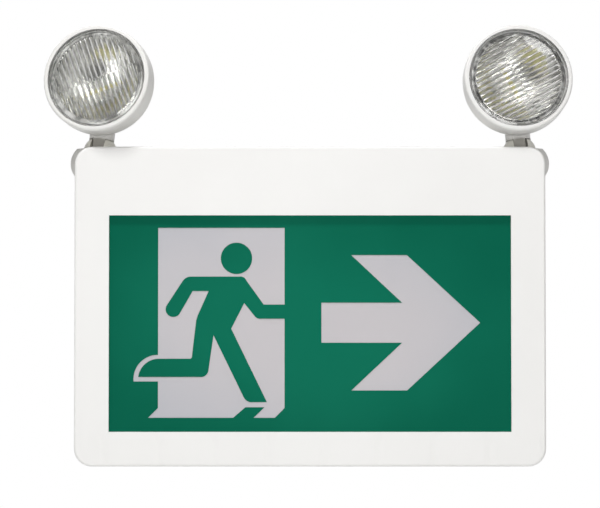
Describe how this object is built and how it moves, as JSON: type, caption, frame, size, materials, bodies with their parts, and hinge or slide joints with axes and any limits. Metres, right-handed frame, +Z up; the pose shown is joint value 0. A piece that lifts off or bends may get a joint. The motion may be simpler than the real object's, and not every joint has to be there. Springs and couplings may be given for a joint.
{
  "type": "emergency exit light",
  "caption": "Edge-lit running-figure exit sign with a right arrow, and two round lamp heads that swivel and tilt on ball knuckles at its top corners.",
  "frame": {"origin": "middle of the flat back that goes on the wall", "axes": "+X to the right seen from the front, -Y out of the legend (so +Y into the wall), +Z up"},
  "size_m": [0.3554, 0.0582, 0.2962],
  "materials": {
    "white_housing": "fine texture",
    "legend_diffuser": "frosted",
    "legend_green": "screen printed",
    "white_reflector": "smooth",
    "screw_steel": "zinc plated",
    "circuit_board": "solder mask",
    "white_board": "solder mask",
    "led_phosphor": "silicone",
    "relay_case": "smooth",
    "capacitor_sleeve": "sleeve",
    "terminal_green": "smooth",
    "battery_sleeve": "shrink sleeve",
    "strap_metal": "plated",
    "laminations": "varnished",
    "winding_tape": "tape",
    "switch_black": "smooth",
    "button_red": "smooth",
    "pilot_green": "tinted",
    "clear_lens": "clear moulded",
    "bright_bowl": "metallised"
  },
  "bodies": {
    "housing": {"back_housing": "white_housing", "face_cover": "white_housing", "legend_panel": "legend_diffuser", "legend_print": "legend_green", "light_box": "white_reflector", "light_box_screws": "screw_steel", "led_bar_top": "white_board", "led_bar_bottom": "white_board", "bar_chips_top": "led_phosphor", "bar_chips_bottom": "led_phosphor", "control_board": "circuit_board", "board_screws": "screw_steel", "relay": "relay_case", "board_capacitors": "capacitor_sleeve", "terminal_block": "terminal_green", "battery_pack": "battery_sleeve", "battery_strap": "strap_metal", "strap_screws": "screw_steel", "transformer_core": "laminations", "transformer_coil": "winding_tape", "transformer_frame": "strap_metal", "test_switch": "switch_black", "charge_lamp": "pilot_green"},
    "button": {"test_button": "button_red"},
    "turret_left": {"turret_left": "white_housing", "turret_washer_left": "strap_metal", "turret_nut_left": "white_reflector", "pivot_screw_left": "screw_steel", "pivot_nut_left": "screw_steel", "pivot_washer_left": "strap_metal"},
    "lamp_left": {"lamp_shell_left": "white_housing", "lens_left": "clear_lens", "reflector_left": "bright_bowl", "led_board_left": "white_board", "led_board_screws_left": "screw_steel", "led_chips_left": "led_phosphor"},
    "turret_right": {"turret_right": "white_housing", "turret_washer_right": "strap_metal", "turret_nut_right": "white_reflector", "pivot_screw_right": "screw_steel", "pivot_nut_right": "screw_steel", "pivot_washer_right": "strap_metal"},
    "lamp_right": {"lamp_shell_right": "white_housing", "lens_right": "clear_lens", "reflector_right": "bright_bowl", "led_board_right": "white_board", "led_board_screws_right": "screw_steel", "led_chips_right": "led_phosphor"}
  },
  "joints": [
    {"name": "pan_left", "type": "hinge", "parent": "housing", "child": "turret_left", "pos_m": [-0.1425, -0.0255, 0.1043], "axis": [0.0785, 0, 0.9969], "range_deg": [-39, 47]},
    {"name": "tilt_left", "type": "hinge", "parent": "turret_left", "child": "lamp_left", "pos_m": [-0.1425, -0.0255, 0.1043], "axis": [0.9786, -0.1908, -0.077], "range_deg": [-19, 13]},
    {"name": "pan_right", "type": "hinge", "parent": "housing", "child": "turret_right", "pos_m": [0.1425, -0.0255, 0.1043], "axis": [-0.0785, 0, 0.9969], "range_deg": [-39.2, 46.8]},
    {"name": "tilt_right", "type": "hinge", "parent": "turret_right", "child": "lamp_right", "pos_m": [0.1425, -0.0255, 0.1043], "axis": [0.9954, 0.0558, 0.0783], "range_deg": [-18, 14]},
    {"name": "test_button_press", "type": "slide", "parent": "housing", "child": "button", "axis": [0, 0, 1], "range_m": [0, 0.0012], "stiffness_N_per_m": 900, "springref_m": -0.0004}
  ]
}
